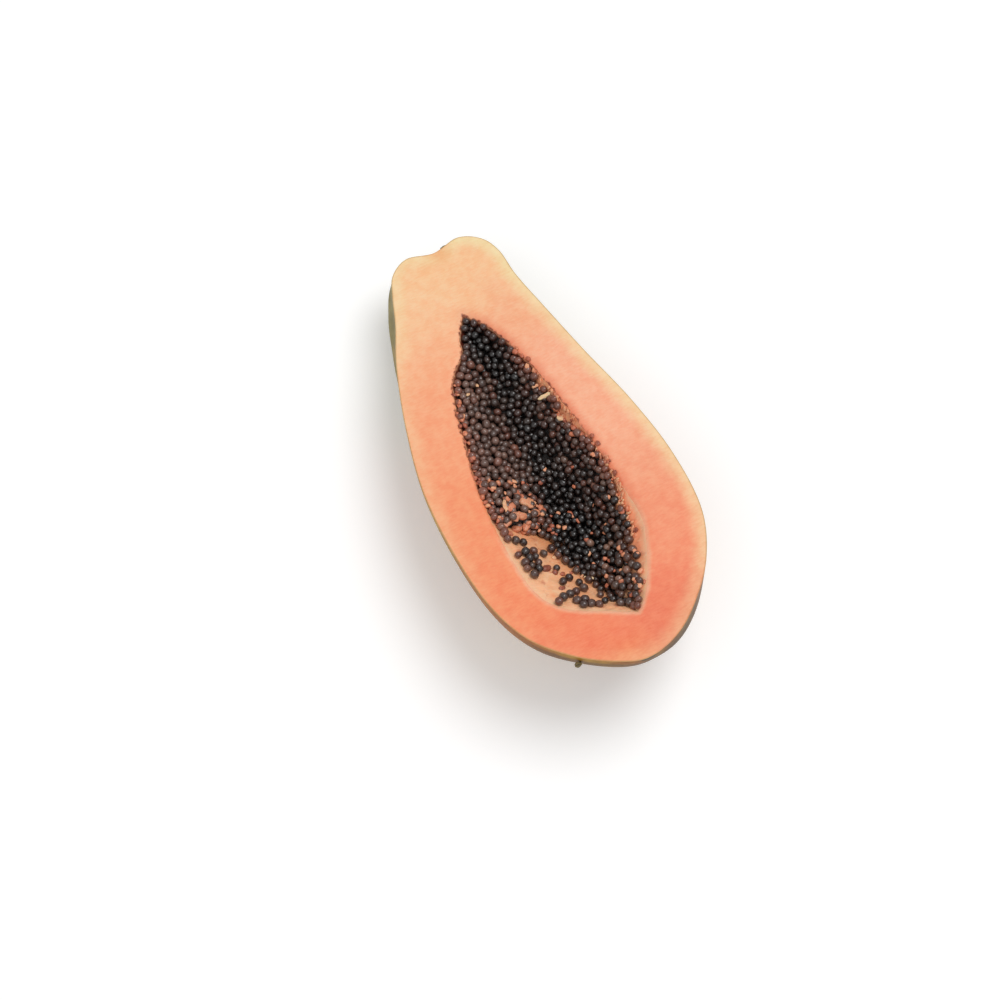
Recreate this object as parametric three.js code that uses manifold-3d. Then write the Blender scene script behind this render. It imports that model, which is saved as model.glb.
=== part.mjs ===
// Half of a ripe papaya, cut lengthwise, lying on its skin with the cut side up.
//
// It has two solids: the flesh, which carries the skin, the open seed cavity and the few seeds that
// stick to its bare wall, and the heap of seeds that lies in the cavity.
//
// Millimetres. The fruit is laid out with its cut face at z = 0, +Y towards the stem, and is then
// tipped to the slope at which it balances. In the finished part +Z is up, and the origin is below
// the middle of the part, on the surface it rests on.

import * as THREE from 'three';
import { mergeVertices } from 'three/addons/utils/BufferGeometryUtils.js';
import Module from 'manifold-3d';

const wasm = await Module();
wasm.setup();

// ---- the fruit ----------------------------------------------------------------------------------

// Sections of the half fruit from the blossom end to the stem scar:
// place along the fruit, left edge and right edge of the cut face, depth below it
const fruitSections = [
  [-140, -1.5, -1.5, 0],
  [-135, -16.5, 18, 17.5],
  [-122.5, -35.4, 35.3, 29.5],
  [-102.5, -53.2, 52.8, 47],
  [-75, -63, 64.5, 62.5],
  [-38, -66.5, 66.5, 66.5],
  [1, -65, 61.7, 63],
  [40, -56.8, 53, 55],
  [76, -45.5, 45.8, 47],
  [101.5, -34.3, 41, 41],
  [120, -27.5, 39.6, 36],
  [132, -21.5, 34, 22],
  [138.5, -10, 22, 14],
  [135, 5.5, 5.5, 0],
];
const fruitRings = 39; // three to each stretch between two sections
const fruitSides = 18;
const ribDepth = 0.008; // share of the radius
const ribCount = 5; // round the whole fruit
// Where a side swells out below the cut, because the knife went past the fruit's middle
const leftSwell = { amount: 1.1, place: 115, reach: 48 };
const rightSwell = { amount: 0.75, place: -128, reach: 34 };

// ---- the seed cavity ----------------------------------------------------------------------------

// Sections of the cavity from its blossom tip to its stem tip:
// place along the fruit, left rim, right rim, depth of the wall, depth of the seeds at their lowest
const cavitySections = [
  [-114.2, 6, 6, 0, 0],
  [-107, -7.5, 13.5, 7.5, 4.5],
  [-96, -26.6, 20.8, 15.5, 9.5],
  [-83, -36.4, 27.3, 23, 14],
  [-65, -39.4, 33.3, 31, 19],
  [-40, -40, 32.5, 36.5, 22],
  [-12, -38, 31, 36, 20],
  [16, -32.2, 27.5, 31.5, 15],
  [40, -27, 23.5, 26, 11],
  [58, -19, 18.8, 20, 8.2],
  [68, -9.5, 15.8, 15.5, 6.4],
  [79, -5.2, 11, 10, 4.2],
  [91, 2.5, 2.5, 0, 0],
];
const cavityRings = 24; // two to each stretch
const cavitySides = 10;
const cavityLift = 12; // the cutting solid stands this high above the cut face
const keelShare = 0.6; // the wall is deepest at this share of the way from left to right
// How the wall curves from the rim down: 1 is straight, 2 is round
const leftSlopeBend = 0.85; // towards the blossom end
const rightSlopeBend = 1;
const steepBend = 1.9; // towards the stem
const slopeEnd = -62; // the one turns into the other between these places
const steepStart = -8;

// ---- the seeds ----------------------------------------------------------------------------------

const wallGap = 0.45; // between the heap and the wall of the cavity
const seedRadius = 2.4;
const seedSpread = 0.1; // largest change of the radius, as a share of it
const seedLength = 1.12; // a seed is this much longer than wide
const seedLift = 0.75; // share of its radius by which a seed's middle stands off what it lies on
const seedSpace = 1.2; // least space between two seeds
const leftDrop = 2.6; // the heap's core starts this far below the cut face
const rightDrop = 2;
const troughShare = 0.64; // its furrow lies at this share of the way from left to right
const leastHeap = 1.6; // no seed lies on a core thinner than this
const scanRings = 700; // the seeds are laid from the blossom tip upwards, in steps this fine
const scanPlaces = 120;
const randomSeed = 20417;

// Where the heap ends short of the rims and leaves the wall bare: place along, left end, right end
const heapEnds = [
  [-112, 4.5, 7],
  [-105, 2.5, 11],
  [-98, 0, 15],
  [-91, -1, 18.5],
  [-84, -3.5, 22.5],
  [-77, -6, 22.5],
  [-70, -9.5, 23],
  [-64, -13, 27],
  [-57, -13.5, 28.5],
  [-50, -10.5, 28.5],
  [-45, -12, 29],
  [-41, -19, 29.5],
  [-37, -28, 30.5],
  [-32, -41, 33],
  [-16, -45, 33],
  [-5, -45, 28.5],
  [3, -45, 26.3],
  [14, -45, 23.8],
  [22, -45, 25.4],
  [30, -45, 22.2],
  [36, -45, 21.2],
  [43, -45, 22.4],
  [50, -45, 25],
];

// Seeds that stay on the bare wall lie in short rows: first and last seed, number of seeds
const looseRows = [
  { from: [-37.3, -36.5], to: [-37.5, -40.5], count: 2 },
  { from: [-36, -44.5], to: [-31, -46.5], count: 3 },
  { from: [-36.8, -56], to: [-26.5, -54], count: 3 },
  { from: [-34.5, -61], to: [-28, -58], count: 3 },
  { from: [-35.5, -65.5], to: [-28, -62.5], count: 3 },
  { from: [-33.5, -69], to: [-29.5, -66.5], count: 2 },
  { from: [-22, -58], to: [-17, -55], count: 2 },
  { from: [-19.5, -68], to: [-19.5, -68], count: 1 },
  { from: [-21, -78], to: [-16, -76], count: 2 },
  { from: [-12.6, -79.8], to: [-11.2, -83.6], count: 2 },
  { from: [-5.4, -91.8], to: [-5.4, -97], count: 2 },
  { from: [-29, -90], to: [-17, -87], count: 4 },
  { from: [-19.5, -92], to: [-12, -99.5], count: 5 },
];
const looseShift = 0.8; // furthest that a seed strays from its row

// ---- how it rests -------------------------------------------------------------------------------

const restTilt = THREE.MathUtils.degToRad(7.5); // the stem end lies lower
const flatDepth = 1.2; // the skin is pressed flat this much where it rests

// ---- small helpers ------------------------------------------------------------------------------

// Uniform Catmull-Rom curve through rows of numbers; before and after stand in beyond its ends
function smoothRow(rows, before, after, t) {
  const last = rows.length - 1;
  const place = Math.min(t * last, last - 1e-9);
  const i = Math.floor(place);
  const f = place - i;
  const a = i > 0 ? rows[i - 1] : before;
  const b = rows[i];
  const c = rows[i + 1];
  const d = i + 2 <= last ? rows[i + 2] : after;
  return b.map((value, n) => {
    const bend = (2 * a[n] - 5 * value + 4 * c[n] - d[n]) * f * f;
    const twist = (-a[n] + 3 * value - 3 * c[n] + d[n]) * f * f * f;
    return 0.5 * (2 * value + (c[n] - a[n]) * f + bend + twist);
  });
}

// Closed surface through rings of points, each ring one closed loop; an end ring may be a point
function loft(rings) {
  const count = rings[0].length;
  const positions = rings.flat().flatMap((p) => [p.x, p.y, p.z]);
  const index = [];
  for (let i = 0; i + 1 < rings.length; i += 1) {
    for (let k = 0; k < count; k += 1) {
      const next = (k + 1) % count;
      const a = i * count + k;
      const b = i * count + next;
      index.push(a, b, b + count, a, b + count, a + count);
    }
  }
  const geometry = new THREE.BufferGeometry();
  geometry.setAttribute('position', new THREE.Float32BufferAttribute(positions, 3));
  geometry.setIndex(index);
  return geometry;
}

// Manifold solid of a closed geometry, with coinciding points merged and flat triangles dropped
function solidFrom(geometry) {
  const bare = geometry.clone();
  bare.deleteAttribute('normal');
  bare.deleteAttribute('uv');
  const merged = mergeVertices(bare, 1e-4);
  const corners = merged.index.array;
  const kept = [];
  for (let n = 0; n < corners.length; n += 3) {
    const [a, b, c] = corners.slice(n, n + 3);
    if (a !== b && b !== c && c !== a) kept.push(a, b, c);
  }
  const mesh = new wasm.Mesh({
    numProp: 3,
    vertProperties: new Float32Array(merged.attributes.position.array),
    triVerts: new Uint32Array(kept),
  });
  return new wasm.Manifold(mesh);
}

function geometryFrom(solid) {
  const mesh = solid.getMesh();
  const geometry = new THREE.BufferGeometry();
  geometry.setAttribute('position', new THREE.BufferAttribute(mesh.vertProperties, 3));
  geometry.setIndex(new THREE.BufferAttribute(mesh.triVerts, 1));
  return geometry;
}

// Even random numbers from 0 to 1, the same on every run
function makeRandom(start) {
  let state = start;
  return () => {
    state = (state * 48271) % 2147483647;
    return state / 2147483647;
  };
}

// ---- the outside of the fruit -------------------------------------------------------------------

// The row beyond a pole, mirrored over the fruit's axis so that the end is round
function mirrored(row, pole) {
  return [row[0], 2 * pole[1] - row[1], 2 * pole[2] - row[2], -row[3]];
}

function fruitSection(t) {
  const rows = fruitSections;
  const last = rows.length - 1;
  const before = mirrored(rows[1], rows[0]);
  const after = mirrored(rows[last - 1], rows[last]);
  const [y, left, right, depth] = smoothRow(rows, before, after, t);
  return { y, middle: (left + right) / 2, half: (right - left) / 2, depth };
}

function skinPoint(t, angle) {
  const { y, middle, half, depth } = fruitSection(t);
  const side = Math.cos(angle);
  const down = Math.sin(angle);
  const rib = 1 - ribDepth * down * Math.cos(ribCount * (angle - Math.PI / 2));
  const swell = side < 0 ? leftSwell : rightSwell;
  const bulge = swell.amount * Math.exp(-(((y - swell.place) / swell.reach) ** 2));
  const reach = half * side * rib * (1 + bulge * down * down);
  return new THREE.Vector3(middle + reach, y, -depth * down * rib);
}

function fruitSolid() {
  const rings = [];
  for (let i = 0; i <= fruitRings; i += 1) {
    const ring = [];
    for (let k = 0; k <= fruitSides; k += 1) {
      ring.push(skinPoint(i / fruitRings, (Math.PI * k) / fruitSides));
    }
    rings.push(ring);
  }
  return solidFrom(loft(rings));
}

// ---- the cavity and the heap in it --------------------------------------------------------------

function cavitySection(t) {
  const rows = cavitySections;
  const last = rows.length - 1;
  const before = rows[0].map((value, n) => 2 * value - rows[1][n]);
  const after = rows[last].map((value, n) => 2 * value - rows[last - 1][n]);
  const [y, left, right, depth, trough] = smoothRow(rows, before, after, t);
  return { y, left, right, depth, trough };
}

// How far x lies from a keel line towards the rim, from 0 to 1, and on which side
function sideways(section, x) {
  const keel = section.left + keelShare * (section.right - section.left);
  const reach = x < keel ? keel - section.left : section.right - keel;
  return { left: x < keel, part: reach > 0 ? Math.min(Math.abs(x - keel) / reach, 1) : 1 };
}

function wallHeight(section, x) {
  const { left, part } = sideways(section, x);
  const steep = THREE.MathUtils.smoothstep(section.y, slopeEnd, steepStart);
  const slopeBend = left ? leftSlopeBend : rightSlopeBend;
  const bend = slopeBend + (steepBend - slopeBend) * steep;
  return -section.depth * (1 - part ** bend);
}

// Where the heap ends on both sides of a section
function heapEnd(section) {
  const last = heapEnds.length - 1;
  const i = Math.max(heapEnds.findLastIndex((row) => row[0] <= section.y), 0);
  const low = heapEnds[i];
  const high = heapEnds[Math.min(i + 1, last)];
  const share = THREE.MathUtils.clamp((section.y - low[0]) / Math.max(high[0] - low[0], 1), 0, 1);
  return {
    left: Math.max(section.left, low[1] + (high[1] - low[1]) * share),
    right: Math.min(section.right, low[2] + (high[2] - low[2]) * share),
  };
}

// The heap's top falls in a furrow from its two ends, which lie on the wall
function heapHeight(section, x) {
  const trough = section.left + troughShare * (section.right - section.left);
  const ends = heapEnd(section);
  const left = x < trough;
  const end = left ? Math.min(ends.left, trough) : Math.max(ends.right, trough);
  const drop = Math.min(left ? leftDrop : rightDrop, section.trough);
  const edge = Math.max(drop, -wallHeight(section, end));
  const part = Math.min(Math.abs(x - trough) / Math.max(Math.abs(end - trough), 0.01), 1);
  return -edge - (section.trough - edge) * Math.cos((part * Math.PI) / 2) ** 2;
}

// Solid of the cavity, from the wall up past the cut face, drawn in by inset on every side
function cavitySolid(inset) {
  const rings = [];
  for (let i = 0; i <= cavityRings; i += 1) {
    const section = cavitySection(i / cavityRings);
    const half = Math.max((section.right - section.left) / 2 - inset, 0);
    const middle = (section.left + section.right) / 2;
    const ring = [new THREE.Vector3(middle + half, section.y, cavityLift)];
    for (let k = 0; k <= cavitySides; k += 1) {
      const share = Math.cos((Math.PI * k) / cavitySides);
      const x = middle + ((section.right - section.left) / 2) * share;
      const z = Math.min(wallHeight(section, x) + inset, 0);
      ring.push(new THREE.Vector3(middle + half * share, section.y, z));
    }
    ring.push(new THREE.Vector3(middle - half, section.y, cavityLift));
    rings.push(ring);
  }
  return solidFrom(loft(rings));
}

// Corner of the faceted top of the heap's core: ring i along it, place k across it
function heapCorner(i, k) {
  const section = cavitySection(i / cavityRings);
  const x = section.left + ((section.right - section.left) * k) / cavitySides;
  return new THREE.Vector3(x, section.y, heapHeight(section, x));
}

// Point on that top: shares of the way along it and across it
function heapPoint(along, across) {
  const i = Math.min(Math.floor(along * cavityRings), cavityRings - 1);
  const k = Math.min(Math.floor(across * cavitySides), cavitySides - 1);
  const sideShare = across * cavitySides - k;
  const near = heapCorner(i, k).lerp(heapCorner(i, k + 1), sideShare);
  const far = heapCorner(i + 1, k).lerp(heapCorner(i + 1, k + 1), sideShare);
  return near.lerp(far, along * cavityRings - i);
}

// Block under that top, deeper than the cavity and closed at both ends
function heapBlock() {
  const floor = -60;
  const rings = [];
  for (let i = 0; i <= cavityRings; i += 1) {
    const { y, left, right } = cavitySection(i / cavityRings);
    const ring = [];
    for (let k = 0; k <= cavitySides; k += 1) ring.push(heapCorner(i, k));
    ring.push(new THREE.Vector3(right, y, floor), new THREE.Vector3(left, y, floor));
    rings.push(ring);
  }
  return solidFrom(loft(rings));
}

// A seed is a long ball of twenty faces that stands on one of its corners
function seedSolid(seed) {
  const cornerTurn = Math.atan(2 / (1 + Math.sqrt(5)));
  const geometry = new THREE.IcosahedronGeometry(seed.radius, 0);
  geometry.rotateX(Math.PI / 2);
  geometry.rotateY(cornerTurn);
  geometry.scale(seedLength, 1, 1);
  geometry.rotateZ(seed.turn);
  geometry.rotateY(-seed.slope);
  geometry.translate(seed.x, seed.y, seed.z);
  return solidFrom(geometry);
}

// The section of the cavity at a place along it
function sectionAt(y) {
  let low = 0;
  let high = 1;
  while (high - low > 1e-6) {
    const middle = (low + high) / 2;
    if (cavitySection(middle).y < y) low = middle;
    else high = middle;
  }
  return cavitySection(low);
}

// A seed of this radius that lies at a spot on the surface given by height, square to its slope
function seedAt(spot, section, height, radius) {
  const slope = Math.atan((height(section, spot.x + 1) - height(section, spot.x - 1)) / 2);
  const x = spot.x - seedLift * radius * Math.sin(slope);
  const z = spot.z + seedLift * radius * Math.cos(slope);
  return { x, y: spot.y, z, radius, slope };
}

// True if the seed keeps off the cavity's rim and its wall
function clearOfWall(section, seed) {
  const reach = seed.radius + wallGap;
  return [-reach, reach].every((step) => {
    const x = seed.x + step;
    return x > section.left && x < section.right && wallHeight(section, x) < seed.z;
  });
}

function clearOfSeeds(seeds, seed) {
  return seeds.every((other) => {
    const far = Math.hypot(other.x - seed.x, other.y - seed.y, other.z - seed.z);
    return far > other.radius + seed.radius + seedSpace;
  });
}

function randomRadius(random) {
  return seedRadius * (1 + seedSpread * (2 * random() - 1));
}

// The rows of seeds on the bare wall
function layLooseSeeds(random) {
  const seeds = [];
  for (const { from, to, count } of looseRows) {
    for (let n = 0; n < count; n += 1) {
      const share = count > 1 ? n / (count - 1) : 0;
      const x = from[0] + (to[0] - from[0]) * share + looseShift * (2 * random() - 1);
      const y = from[1] + (to[1] - from[1]) * share + looseShift * (2 * random() - 1);
      const section = sectionAt(y);
      const spot = new THREE.Vector3(x, y, wallHeight(section, x));
      const seed = seedAt(spot, section, wallHeight, randomRadius(random));
      seed.turn = 2 * Math.PI * random();
      seeds.push(seed);
    }
  }
  return seeds;
}

// Seeds laid on the heap one by one, each at the first free place
function layHeapSeeds(random, looseSeeds) {
  const seeds = [];
  let radius = seedRadius;
  for (let i = 1; i < scanRings; i += 1) {
    const along = i / scanRings;
    const section = cavitySection(along);
    const start = random();
    for (let k = 0; k < scanPlaces; k += 1) {
      const across = (k + start) / scanPlaces;
      const x = section.left + (section.right - section.left) * across;
      if (heapHeight(section, x) - wallHeight(section, x) < leastHeap) continue;
      const seed = seedAt(heapPoint(along, across), section, heapHeight, radius);
      if (!clearOfWall(section, seed) || !clearOfSeeds([...looseSeeds, ...seeds], seed)) continue;
      seed.turn = 2 * Math.PI * random();
      radius = randomRadius(random);
      seeds.push(seed);
    }
  }
  return seeds;
}

// ---- putting it together ------------------------------------------------------------------------

const random = makeRandom(randomSeed);
const looseSeeds = layLooseSeeds(random);
const heapSeeds = layHeapSeeds(random, looseSeeds);

function fleshGeometry() {
  let flesh = fruitSolid().subtract(cavitySolid(0));
  for (const seed of looseSeeds) flesh = flesh.add(seedSolid(seed));
  return geometryFrom(flesh).rotateX(-restTilt);
}

function seedsGeometry() {
  let heap = heapBlock();
  for (const seed of heapSeeds) heap = heap.add(seedSolid(seed));
  return geometryFrom(heap.intersect(cavitySolid(wallGap))).rotateX(-restTilt);
}

// Cuts the underside flat where the fruit rests
function pressedFlat(geometry) {
  geometry.computeBoundingBox();
  const side = 400;
  const block = new THREE.BoxGeometry(side, side, side);
  block.translate(0, 0, geometry.boundingBox.min.z + flatDepth - side / 2);
  return geometryFrom(solidFrom(geometry).subtract(solidFrom(block)));
}

const flesh = pressedFlat(fleshGeometry());
flesh.computeBoundingBox();
const box = flesh.boundingBox;
const centre = box.getCenter(new THREE.Vector3());

const fleshColour = new THREE.MeshStandardMaterial({ color: 0xf5a377, roughness: 0.45, metalness: 0 });
const seedColour = new THREE.MeshStandardMaterial({ color: 0x2b2220, roughness: 0.3, metalness: 0 });

const group = new THREE.Group();
const pieces = [
  ['flesh', flesh, fleshColour],
  ['seeds', seedsGeometry(), seedColour],
];
for (const [name, geometry, material] of pieces) {
  const mesh = new THREE.Mesh(geometry, material);
  mesh.name = name;
  group.add(mesh);
}
group.position.set(-centre.x, -centre.y, -box.min.z);

export default group;
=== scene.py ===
import math

import bmesh
import bpy
import numpy as np
from mathutils import Matrix, Vector, noise


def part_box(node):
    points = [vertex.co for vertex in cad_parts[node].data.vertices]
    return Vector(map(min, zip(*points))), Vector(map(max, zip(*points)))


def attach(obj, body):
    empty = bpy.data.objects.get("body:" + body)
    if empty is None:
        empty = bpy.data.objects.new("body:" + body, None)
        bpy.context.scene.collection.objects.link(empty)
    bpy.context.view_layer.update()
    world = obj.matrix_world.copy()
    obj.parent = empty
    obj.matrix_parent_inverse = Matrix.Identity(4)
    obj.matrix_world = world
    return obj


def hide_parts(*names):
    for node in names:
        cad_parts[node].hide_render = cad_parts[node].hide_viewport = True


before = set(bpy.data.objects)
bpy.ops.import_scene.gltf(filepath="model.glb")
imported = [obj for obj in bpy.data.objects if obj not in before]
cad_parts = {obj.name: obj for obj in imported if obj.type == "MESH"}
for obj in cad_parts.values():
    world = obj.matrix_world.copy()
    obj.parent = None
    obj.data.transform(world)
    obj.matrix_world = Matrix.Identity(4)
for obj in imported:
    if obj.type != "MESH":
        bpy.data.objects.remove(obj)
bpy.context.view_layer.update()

print("frame loaded")

# Half of a ripe papaya, cut lengthwise: flesh with its skin, and the seeds in its cavity.
# Shapes are worked out in millimetres with the fruit laid level: cut face at z = 0, +y towards
# the stem, +x to the right. toRest() tips them to the way the fruit lies, in metres.

millimetre = 0.001
nearlyZero = 1e-9  # keeps a division from failing

fruit = {
    # place along the fruit, left and right edge of the cut face, depth below it
    "sections": [
        [-140, -1.5, -1.5, 0],
        [-135, -16.5, 18, 17.5],
        [-122.5, -35.4, 35.3, 29.5],
        [-102.5, -53.2, 52.8, 47],
        [-75, -63, 64.5, 62.5],
        [-38, -66.5, 66.5, 66.5],
        [1, -65, 61.7, 63],
        [40, -56.8, 53, 55],
        [76, -45.5, 45.8, 47],
        [101.5, -34.3, 41, 41],
        [120, -27.5, 39.6, 36],
        [132, -21.5, 34, 22],
        [138.5, -10, 22, 14],
        [135, 5.5, 5.5, 0],
    ],
    "ribDepth": 0.008,  # share of the radius
    "ribCount": 5,
    "leftSwell": (1.1, 115, 48),  # how much the skin swells below the cut, place along, reach
    "rightSwell": (0.75, -128, 34),
    "rings": 330,
    "sides": 84,
    "denseSteps": 4000,  # points along an edge when its length is measured
    "restTilt": 7.5,  # degrees, the stem end lies lower
    "flatDepth": 1.2,  # the skin is pressed flat by this much where it rests
}

cavity = {
    # place along, left rim, right rim, depth of the wall, depth of the heap's furrow
    "sections": [
        [-114.2, 6, 6, 0, 0],
        [-107, -7.5, 13.5, 7.5, 4.5],
        [-96, -26.6, 20.8, 15.5, 9.5],
        [-83, -36.4, 27.3, 23, 14],
        [-65, -39.4, 33.3, 31, 19],
        [-40, -40, 32.5, 36.5, 22],
        [-12, -38, 31, 36, 20],
        [16, -32.2, 27.5, 31.5, 15],
        [40, -27, 23.5, 26, 11],
        [58, -19, 18.8, 20, 8.2],
        [68, -9.5, 15.8, 15.5, 6.4],
        [79, -5.2, 11, 10, 4.2],
        [91, 2.5, 2.5, 0, 0],
    ],
    "lookupSteps": 2000,  # points along it among which a place is looked up
    "sides": 56,
    "keelShare": 0.6,  # where across it the wall is deepest
    # how the wall curves from the rim down: 1 is straight, 2 is round
    "leftSlopeBend": 0.85,
    "rightSlopeBend": 1,
    "steepBend": 1.9,
    "slopeEnd": -62,  # the slopes of the bare end pass into steep walls from here
    "steepStart": -8,  # to here
    "troughShare": 0.64,  # where across it the heap's furrow runs
    "leftDrop": 2.6,  # the heap's ends lie at least this far under the cut
    "rightDrop": 2,
    "leastReach": 0.01,  # least way from the furrow to the heap's end, at its tips
    # where the heap ends short of the rims: place along, left end, right end
    "heapEnds": [
        [-112, 4.5, 7],
        [-105, 2.5, 11],
        [-98, 0, 15],
        [-91, -1, 18.5],
        [-84, -3.5, 22.5],
        [-77, -6, 22.5],
        [-70, -9.5, 23],
        [-64, -13, 27],
        [-57, -13.5, 28.5],
        [-50, -10.5, 28.5],
        [-45, -12, 29],
        [-41, -19, 29.5],
        [-37, -28, 30.5],
        [-32, -41, 33],
        [-16, -45, 33],
        [-5, -45, 28.5],
        [3, -45, 26.3],
        [14, -45, 23.8],
        [22, -45, 25.4],
        [30, -45, 22.2],
        [36, -45, 21.2],
        [43, -45, 22.4],
        [50, -45, 25],
    ],
}


def smoothRow(rows, before, after, t):
    # uniform Catmull-Rom curve through rows of numbers
    padded = np.array([before, *rows, after], float)
    last = len(rows) - 1
    place = np.minimum(np.asarray(t, float) * last, last - nearlyZero)
    i = np.floor(place).astype(int)
    f = (place - i)[..., None]
    a, b, c, d = (padded[i + n] for n in range(4))
    bend = (2 * a - 5 * b + 4 * c - d) * f**2
    twist = (-a + 3 * b - 3 * c + d) * f**3
    return 0.5 * (2 * b + (c - a) * f + bend + twist)


def smoothstep(x, low, high):
    part = np.clip((x - low) / (high - low), 0, 1)
    return part * part * (3 - 2 * part)


def fruitSection(t):
    rows = fruit["sections"]

    def mirrored(row, pole):
        return [row[0], 2 * pole[1] - row[1], 2 * pole[2] - row[2], -row[3]]

    ends = mirrored(rows[1], rows[0]), mirrored(rows[-2], rows[-1])
    y, left, right, depth = np.moveaxis(smoothRow(rows, *ends, t), -1, 0)
    return y, (left + right) / 2, (right - left) / 2, depth


def skinPoint(t, angle):
    # angle 0 is the right edge of the cut face, a half turn is the left one
    y, middle, half, depth = fruitSection(t)
    side, down = np.cos(angle), np.sin(angle)
    rib = 1 - fruit["ribDepth"] * down * np.cos(fruit["ribCount"] * (angle - math.pi / 2))

    def bulge(swell):
        amount, place, reach = swell
        return amount * np.exp(-(((y - place) / reach) ** 2))

    swollen = np.where(side < 0, bulge(fruit["leftSwell"]), bulge(fruit["rightSwell"]))
    x = middle + half * side * rib * (1 + swollen * down**2)
    return np.stack(np.broadcast_arrays(x, y, -depth * down * rib), -1)


def rightEdge(t):
    return skinPoint(t, 0)


def leftEdge(t):
    return skinPoint(t, math.pi)


def cavitySection(t):
    rows = np.array(cavity["sections"], float)
    found = smoothRow(rows, 2 * rows[0] - rows[1], 2 * rows[-1] - rows[-2], t)
    return np.moveaxis(found, -1, 0)  # y, left, right, depth, trough


def sectionAt(y):
    # the cavity's section at each place along it
    t = np.linspace(0, 1, cavity["lookupSteps"])
    return cavitySection(np.interp(y, cavitySection(t)[0], t))


def sideways(section, x):
    # how far x lies from a keel line towards the rim, and whether it is on the left of it
    _, left, right, _, _ = section
    keel = left + cavity["keelShare"] * (right - left)
    onLeft = x < keel
    reach = np.where(onLeft, keel - left, right - keel)
    part = np.clip(np.abs(x - keel) / np.maximum(reach, nearlyZero), 0, 1)
    return onLeft, np.where(reach > 0, part, 1)


def wallHeight(section, x):
    onLeft, part = sideways(section, x)
    steep = smoothstep(section[0], cavity["slopeEnd"], cavity["steepStart"])
    slopeBend = np.where(onLeft, cavity["leftSlopeBend"], cavity["rightSlopeBend"])
    bend = slopeBend + (cavity["steepBend"] - slopeBend) * steep
    return -section[3] * (1 - part**bend)


def heapEnd(section):
    # where the heap ends on both sides of a section, and the middle of its furrow
    y, left, right, _, _ = section
    ends = np.array(cavity["heapEnds"], float)
    middle = left + cavity["troughShare"] * (right - left)
    leftEnd = np.minimum(np.maximum(left, np.interp(y, ends[:, 0], ends[:, 1])), middle)
    rightEnd = np.maximum(np.minimum(right, np.interp(y, ends[:, 0], ends[:, 2])), middle)
    return leftEnd, rightEnd, middle


def heapHeight(section, x):
    # the heap's top falls in a furrow from its two ends, which lie on the wall
    trough = section[4]
    leftEnd, rightEnd, middle = heapEnd(section)
    onLeft = x < middle
    end = np.where(onLeft, leftEnd, rightEnd)
    drop = np.minimum(np.where(onLeft, cavity["leftDrop"], cavity["rightDrop"]), trough)
    edge = np.maximum(drop, -wallHeight(section, end))
    part = np.minimum(np.abs(x - middle) / np.maximum(np.abs(end - middle), cavity["leastReach"]), 1)
    return -edge - (trough - edge) * np.cos(part * math.pi / 2) ** 2


def slopeOf(height, section, x):
    # slope across the fruit, measured over a millimetre to each side
    return np.arctan((height(section, x + 1) - height(section, x - 1)) / 2)


def evenSteps(edgePoints, count):
    # values of t that share the mean length of two edges evenly
    dense = np.linspace(0, 1, fruit["denseSteps"])
    steps = [np.linalg.norm(np.diff(edge(dense), axis=0), axis=1) for edge in edgePoints]
    length = np.concatenate([[0], np.cumsum(sum(steps))])
    return np.interp(np.linspace(0, length[-1], count + 1), length, dense)


def lumpsAt(points, rule):
    # soft noise at each point, by its largest height, the size of a lump and a shift of the pattern
    height, size, shift = rule
    offset = Vector((shift,) * 3)
    found = [noise.noise(Vector(p) / size + offset) for p in points.reshape(-1, 3)]
    return height * np.reshape(found, points.shape[:-1])


# The way it lies: tipped about X, then set on its flat spot and in the middle of the frame's box

tilt = math.radians(fruit["restTilt"])
tipped = np.array([
    [1, 0, 0],
    [0, math.cos(tilt), math.sin(tilt)],
    [0, -math.sin(tilt), math.cos(tilt)],
])
fleshLow, fleshHigh = (np.array(corner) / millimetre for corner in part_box("flesh"))
skinAngles = np.linspace(0, math.pi, fruit["sides"] + 1)
# rows along the fruit, each from the right edge down and round to the left one
skinSheet = skinPoint(evenSteps([rightEdge, leftEdge], fruit["rings"])[:, None], skinAngles)


def restFit():
    # stretch and shift that set the tipped skin, pressed flat below, in its box of the frame
    skin = skinSheet.reshape(-1, 3) @ tipped.T
    low, high = skin.min(0), skin.max(0)
    low[2] += fruit["flatDepth"]
    stretch = (fleshHigh - fleshLow) / (high - low)
    return stretch, fleshLow - low * stretch


fitStretch, fitShift = restFit()


def toRest(points):
    return (np.asarray(points) @ tipped.T * fitStretch + fitShift) * millimetre


def lieOn(slope, turn):
    # turns a thing on the spot, then lays it on a slope of the tipped fruit
    lie = Matrix.Rotation(-tilt, 3, "X") @ Matrix.Rotation(-slope, 3, "Y")
    return lie @ Matrix.Rotation(turn, 3, "Z")


print("fit to the frame:", np.round(fitStretch, 4), np.round(fitShift, 2))

# Helpers for meshes, node trees and colours

weldReach = 0.002  # points closer than this are merged


def newPiece(name, points, faces=(), materials=(), faceMaterials=None, values=None):
    # a mesh object, with a stored value or vector for each point under each name in values
    mesh = bpy.data.meshes.new(name)
    mesh.from_pydata([tuple(p) for p in points], [], [tuple(int(v) for v in f) for f in faces])
    for material in materials:
        mesh.materials.append(material)
    if faceMaterials is not None:
        mesh.polygons.foreach_set("material_index", np.asarray(faceMaterials, np.int32))
    for key, numbers in (values or {}).items():
        numbers = np.asarray(numbers, np.float32)
        kind = "FLOAT_VECTOR" if numbers.ndim == 2 else "FLOAT"
        layer = mesh.attributes.new(key, kind, "POINT")
        layer.data.foreach_set("vector" if numbers.ndim == 2 else "value", numbers.ravel())
    mesh.update()
    piece = bpy.data.objects.new(name, mesh)
    bpy.context.scene.collection.objects.link(piece)
    return piece


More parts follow.
